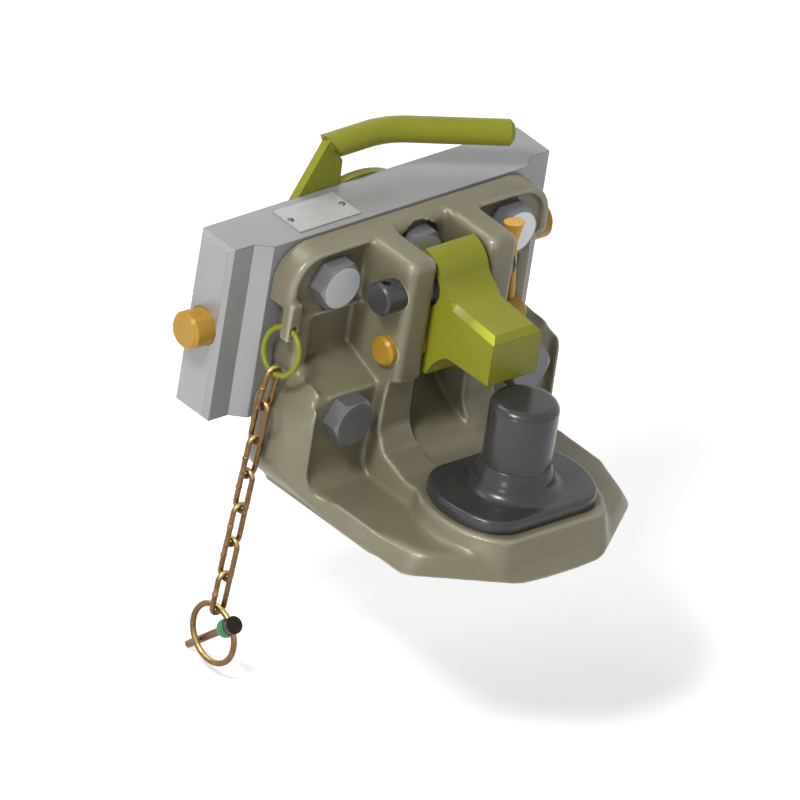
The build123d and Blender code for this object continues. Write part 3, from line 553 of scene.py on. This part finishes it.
def bore_cylinders(work, over_length, over_radius):
    """Add a cylinder for each bore to a bmesh, longer at both ends and wider by the given lengths."""
    for start, end, radius in BORES:
        start, end = Vector(start), Vector(end)
        past = (end - start).normalized() * over_length
        cylinder(work, start - past, end + past, radius + over_radius)


def inside_by(place, low, high):
    """How far a place lies within a box, and negative outside it."""
    return min(min(at - least, most - at) for least, at, most in zip(low, place, high))


def soften(piece, voxel):
    """Smoothing modifiers on the casting, with more of it along the tray's rim and on the lobes."""
    softness = piece.vertex_groups.new(name="softness")
    edges = piece.vertex_groups.new(name="edges")
    lug, rest = [], []
    for vertex in piece.data.vertices:
        x, y, z = vertex.co
        own = lug if inside_by((x, y, z), LUG_LOW, LUG_HIGH) >= 0 else rest
        own.append(vertex.index)
        in_rim = min(math.hypot(x, y + PITON_FORWARD) - RIM_START, RIM_BACK - y)
        in_lobe = inside_by((abs(x), y, z), LOBE_LOW, LOBE_HIGH)
        share = max(in_rim, in_lobe) / RIM_FADE
        if share > 0:
            edges.add([vertex.index], min(share, 1.0), "REPLACE")
    softness.add(lug, LUG_SOFTNESS, "REPLACE")
    softness.add(rest, 1.0, "REPLACE")
    for group, reach in (("softness", SKIN_REACH), ("edges", RIM_REACH)):
        smooth = piece.modifiers.new(group, "SMOOTH")
        smooth.factor = SKIN_FACTOR
        smooth.iterations = round((reach / voxel) ** 2 / SKIN_FACTOR)
        smooth.vertex_group = group


def casting_skin():
    """The casting with the soft corners of a sand casting and crisp bores."""
    work = bmesh.new()
    work.from_mesh(nodes["coupling_body"].data)
    bore_cylinders(work, over_length=-BORE_INSET, over_radius=BORE_FILL)
    rough = placed("rough_casting", mesh_of("rough_casting", work))
    voxel = SKIN_VOXEL
    remesh = rough.modifiers.new("even", "REMESH")
    remesh.mode = "VOXEL"
    remesh.voxel_size = voxel
    even = applied(rough)
    bpy.data.objects.remove(rough)
    soft = placed("soft_casting", even)
    soften(soft, voxel)

    work = bmesh.new()
    bore_cylinders(work, over_length=BORE_RUN, over_radius=0)
    cutter = placed("bores", mesh_of("bores", work))
    combined(soft, cutter, "DIFFERENCE")
    mesh = applied(soft)
    for piece in (soft, cutter):
        bpy.data.objects.remove(piece)
    skin = finished("casting_skin", smoothed(mesh), "coupler", "casting_paint")
    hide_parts("coupling_body")


def tube(places, radii, across):
    """A mesh tube through places, with a radius at each and closed ends."""
    work = bmesh.new()
    across = Vector(across).normalized()
    rings = []
    for index, (place, radius) in enumerate(zip(places, radii)):
        ahead = places[min(index + 1, len(places) - 1)] - places[max(index - 1, 0)]
        second = ahead.normalized().cross(across)
        ring = []
        for step in range(TUBE_SIDES):
            angle = 2 * math.pi * step / TUBE_SIDES
            outward = across * math.cos(angle) + second * math.sin(angle)
            ring.append(work.verts.new(place + outward * radius))
        rings.append(ring)
    close_loops(work, rings)
    mesh = mesh_of("tube", work)
    for face in mesh.polygons:
        face.use_smooth = len(face.vertices) == 4
    return mesh


def handle_welds():
    """Two rippled weld beads where the lever's handle meets the arm's slanted edge."""
    for name, (y, low_share) in WELDS.items():
        middle = Vector((WELD_X, y, HANDLE_HEIGHT))
        places, radii = [], []
        for step in range(WELD_STEPS + 1):
            along = (step / WELD_STEPS * (1 + low_share) - 1) * WELD_REACH
            ripple = 1 + WELD_RIPPLE * abs(math.sin(math.pi * along / WELD_PITCH))
            fade = math.sqrt(max(WELD_TIP, 1 - (2 * step / WELD_STEPS - 1) ** WELD_BLUNT))
            places.append(middle + WELD_RUN * along)
            radii.append(WELD_RADIUS * ripple * fade)
        finished(f"handle_weld_{name}", tube(places, radii, (0, 1, 0)), "release_lever", "green_paint")


def link_seams():
    """The butt weld on one leg of each chain link, a low bulge, clear of the casting."""
    for number in range(1, LINKS + 1):
        places = [vertex.co for vertex in nodes[f"chain_link_{number}"].data.vertices]
        top = max(places, key=lambda place: place.z)
        bottom = min(places, key=lambda place: place.z)
        down = (bottom - top).normalized()
        middle = (top + bottom) / 2
        across = Vector((-1, 0, 0)) if number % 2 else Vector((0, 1, 0))
        across = (across - down * across.dot(down)).normalized()
        reach = max((place - middle).dot(across) for place in places)
        leg = middle + across * (reach - LINK_WIRE)
        run, radii = [], []
        for step in range(LINK_SEAM_STEPS + 1):
            share = step / LINK_SEAM_STEPS - 0.5
            run.append(leg + down * share * LINK_SEAM_LENGTH)
            radii.append(LINK_WIRE + LINK_SEAM * math.cos(math.pi * share))
        finished(f"link_seam_{number}", tube(run, radii, across), f"link_{number}", "bronze_zinc")


def arc(middle, radius, start, end, steps):
    """Radius and height pairs along an arc in the lathe's plane, angles in degrees."""
    turns = [math.radians(start + (end - start) * step / steps) for step in range(steps + 1)]
    return [(middle[0] + radius * math.cos(turn), middle[1] + radius * math.sin(turn)) for turn in turns]


def lathe(rings, sides, place, joined_ends=False):
    """A mesh of rings about an axis. A ring's radius is a number, or a function of the angle."""
    work = bmesh.new()
    loops = []
    for radius, height in rings:
        loop = []
        for step in range(sides):
            angle = 2 * math.pi * step / sides
            reach = radius(angle) if callable(radius) else radius
            corner = Vector((reach * math.cos(angle), reach * math.sin(angle), height))
            loop.append(work.verts.new(place @ corner))
        loops.append(loop)
    close_loops(work, loops, joined_ends)
    return smoothed(mesh_of("lathe", work))


def flange_reach(angle, inset):
    """How far the flange's outline lies from its middle: a circle cut by two flats, with rounded corners."""
    forward, across = abs(math.sin(angle)), abs(math.cos(angle))
    corner_forward = FLANGE_FLAT - FLANGE_CORNER
    corner_across = math.sqrt((FLANGE_R - FLANGE_CORNER) ** 2 - corner_forward ** 2)
    if across * FLANGE_FLAT <= corner_across * forward:
        return FLANGE_FLAT / forward - inset
    if forward * corner_across <= corner_forward * across:
        return FLANGE_R - inset
    along = corner_across * across + corner_forward * forward
    beside = corner_across * forward - corner_forward * across
    return along + math.sqrt(FLANGE_CORNER ** 2 - beside ** 2) - inset


def flange_rings(edge, height, start, end):
    """Rings that follow the flange's outline round one of its edges."""
    return [
        (lambda angle, inset=-across: flange_reach(angle, inset), up)
        for across, up in arc((-edge, height), edge, start, end, steps=5)
    ]


def piton():
    """The piton with its domed shoulder, groove at the neck, foot fillet and soft flange."""
    shoulder = PIN_R - PIN_ROUND
    rings = [(PIN_TOP_R, PIN_TOP), (shoulder * PIN_TOP_SHARE, PIN_TOP)]
    rings += arc((shoulder, PIN_TOP - PIN_ROUND), PIN_ROUND, 90, 0, steps=10)
    rings += [
        (PIN_R, NECK_TOP + PIN_GROOVE),
        (PIN_R - PIN_GROOVE, NECK_TOP),
        (PIN_R, NECK_TOP - PIN_GROOVE),
        (NECK_R, NECK_FOOT),
    ]
    foot = FOOT_R - NECK_R
    rise = NECK_FOOT - FLANGE_TOP
    rings += [
        (FOOT_R + foot * math.cos(turn), FLANGE_TOP + rise + rise * math.sin(turn))
        for turn in (math.radians(180 + 90 * step / FOOT_STEPS) for step in range(1, FOOT_STEPS + 1))
    ]
    rings += flange_rings(FLANGE_EDGE, FLANGE_TOP - FLANGE_EDGE, 90, 0)
    rings += flange_rings(FLANGE_LOWER_EDGE, FLANGE_BOTTOM + FLANGE_LOWER_EDGE, 0, -90)
    stud_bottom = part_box("piton")[0][2]
    rings += [
        (SPIGOT_R, FLANGE_BOTTOM),
        (SPIGOT_R, SPIGOT_BOTTOM),
        (STUD_R, SPIGOT_BOTTOM),
        (STUD_R, stud_bottom + STUD_EDGE),
        (STUD_R - STUD_EDGE, stud_bottom),
    ]
    mesh = lathe(rings, PITON_SIDES, Matrix.Translation((0, -PITON_FORWARD, 0)))
    piece = finished("piton_forging", mesh, "coupler", "dark_steel")
    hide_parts("piton")


def loft(work, outlines):
    """Add a closed solid through outlines with as many corners each."""
    close_loops(work, [[work.verts.new(place) for place in outline] for outline in outlines])


def nose_filler():
    """A block along each upper side edge of the nose, which fills the solid's undercut."""
    start, top = NOSE_START
    front, front_top = NOSE_FRONT
    outline = [
        NOSE_START,
        NOSE_END,
        NOSE_FRONT,
        (front, front_top - NOSE_FILL),
        (start - NOSE_OVER, top - NOSE_FILL),
        (start - NOSE_OVER, top),
    ]
    work = bmesh.new()
    for side in (-1, 1):
        inner, outer = side * (KEEPER_HALF - NOSE_FILL), side * KEEPER_HALF
        loft(work, [[(x, -forward, up) for forward, up in outline] for x in (inner, outer)])
    return placed("nose_filler", mesh_of("nose_filler", work))


def nose_cutter():
    """A wedge along each upper side edge of the nose, which cuts the bevel and runs out at its start."""
    start, top = NOSE_START
    slope = (NOSE_END[1] - top) / (NOSE_END[0] - start)
    run = NOSE_FRONT[0] + NOSE_OVER - start
    work = bmesh.new()
    for side in (-1, 1):
        sections = []
        for along, out in ((-NOSE_BEVEL, NOSE_BEVEL / 2), (0, 0), (run, 0)):
            near, far = NOSE_OVER + out, out - NOSE_BEVEL - NOSE_OVER
            sections.append([
                (side * (KEEPER_HALF + x), -(start + along), top + slope * along + up)
                for x, up in ((near, near), (far, near), (near, far))
            ])
        loft(work, sections)
    return placed("nose_cutter", mesh_of("nose_cutter", work))


def keeper():
    """The keeper with open bevels along the upper side edges of its nose."""
    work = bmesh.new()
    work.from_mesh(nodes["keeper"].data)
    bmesh.ops.remove_doubles(work, verts=work.verts, dist=MERGE_DISTANCE)
    base = placed("keeper_base", mesh_of("keeper_base", work))
    filler = nose_filler()
    cutter = nose_cutter()
    combined(base, filler, "UNION")
    combined(base, cutter, "DIFFERENCE")
    mesh = applied(base)
    for piece in (base, filler, cutter):
        bpy.data.objects.remove(piece)
    if "custom_normal" in mesh.attributes:
        mesh.attributes.remove(mesh.attributes["custom_normal"])
    piece = finished("keeper_forging", smoothed(mesh), "keeper", "green_paint")
    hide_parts("keeper")


def bolt_springs():
    """The bolts' springs, each a piece of its own on the coupler, with a mesh of its own."""
    for side in ("left", "right"):
        node = f"bolt_spring_{side}"
        spring = finished(f"{node}_coil", nodes[node].data.copy(), "coupler", "spring_steel")
        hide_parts(node)
        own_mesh(spring)


def linch_sleeve():
    """The green sleeve that holds the linch pin's head, set on the pin's own line."""
    middle, tip = linch_line()
    normals = (face.normal for face in nodes["linch_collar"].data.polygons)
    axis = max(normals, key=lambda normal: normal.dot(tip - middle))
    place = Matrix.Translation(middle) @ axis.to_track_quat("Z", "Y").to_matrix().to_4x4()
    front, back = COLLAR_LENGTH / 2, -COLLAR_LENGTH / 2
    lip = COLLAR_EDGE / 2
    rings = [(LINCH_PIN_R, front)]
    rings += arc((COLLAR_R - COLLAR_EDGE, front - COLLAR_EDGE), COLLAR_EDGE, 90, 0, steps=4)
    rings += arc((COLLAR_R - lip, back - COLLAR_GRIP), lip, 0, -90, steps=3)
    rings += [(LINCH_HEAD_R, back - COLLAR_GRIP - lip), (LINCH_HEAD_R, back), (LINCH_PIN_R, back)]
    mesh = lathe(rings, COLLAR_SIDES, place, joined_ends=True)
    piece = finished("linch_sleeve", mesh, "linch_pin", "collar_green")
    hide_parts("linch_collar")


def camera():
    """The photograph's camera."""
    up = VIEW_BACK.cross(VIEW_RIGHT).normalized()
    right = up.cross(VIEW_BACK).normalized()
    back = VIEW_BACK.normalized()
    lens = bpy.data.cameras.new("view")
    lens.type = "ORTHO"
    lens.ortho_scale = FRAME_WIDTH
    eye = placed("view", lens)
    place = right * VIEW_SHIFT_RIGHT + up * VIEW_SHIFT_UP + back * CAMERA_DISTANCE
    eye.matrix_world = Matrix.Translation(place) @ Matrix((right, up, back)).transposed().to_4x4()
    bpy.context.scene.camera = eye


def lamp(name, place, size, power):
    """A square area lamp that looks at the object."""
    light = bpy.data.lights.new(name, "AREA")
    light.size = size
    light.energy = power
    holder = placed(name, light)
    holder.location = place
    holder.rotation_euler = (Vector(TARGET) - holder.location).to_track_quat("-Z", "Y").to_euler()


def seen_share(tree):
    """1 for the rays that show a background: from the camera, and through gloss and glass."""
    path = tree.nodes.new("ShaderNodeLightPath")
    total = path.outputs["Is Camera Ray"]
    for kind in ("Is Glossy Ray", "Is Transmission Ray"):
        either = tree.nodes.new("ShaderNodeMath")
        either.operation = "MAXIMUM"
        tree.links.new(total, either.inputs[0])
        tree.links.new(path.outputs[kind], either.inputs[1])
        total = either.outputs[0]
    return total


def floor():
    """A plain pale floor that keeps the object's soft shadow."""
    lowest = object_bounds()[0][2]
    half = FLOOR_SIZE / 2
    mesh = bpy.data.meshes.new("floor")
    corners = [(-half, -half, 0), (half, -half, 0), (half, half, 0), (-half, half, 0)]
    mesh.from_pydata(corners, [], [(0, 1, 2, 3)])
    ground = placed("floor", mesh)
    ground.location.z = lowest - FLOOR_GAP
    material = bpy.data.materials.new("floor")
    material.use_nodes = True
    tree = material.node_tree
    shader = tree.nodes["Principled BSDF"]
    shader.inputs["Base Color"].default_value = FLOOR_COLOUR
    shader.inputs["Roughness"].default_value = FLOOR_ROUGHNESS
    shader.inputs["Emission Color"].default_value = WHITE
    tree.links.new(mapped(tree, seen_share(tree), 0, 1, 0, FLOOR_GLOW), shader.inputs["Emission Strength"])
    mesh.materials.append(material)
    ground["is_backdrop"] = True


def world():
    """Even studio light, seen as white behind the object."""
    sky = bpy.data.worlds.new("studio")
    bpy.context.scene.world = sky
    sky.use_nodes = True
    tree = sky.node_tree
    shader = tree.nodes["Background"]
    shader.inputs["Color"].default_value = WHITE
    strength = mapped(tree, seen_share(tree), 0, 1, WORLD_STRENGTH, 1.0)
    tree.links.new(strength, shader.inputs["Strength"])


for part in frame["record"]["subparts"]:
    paint(nodes[part["node"]], FINER.get(part["node"], part["material_slot"]))
casting_skin()
handle_welds()
link_seams()
piton()
keeper()
bolt_springs()
linch_sleeve()

camera()
for lamp_name, (lamp_place, lamp_size, lamp_power) in LAMPS.items():
    lamp(lamp_name, lamp_place, lamp_size, lamp_power)
floor()
world()
bpy.context.scene.view_settings.view_transform = "Standard"
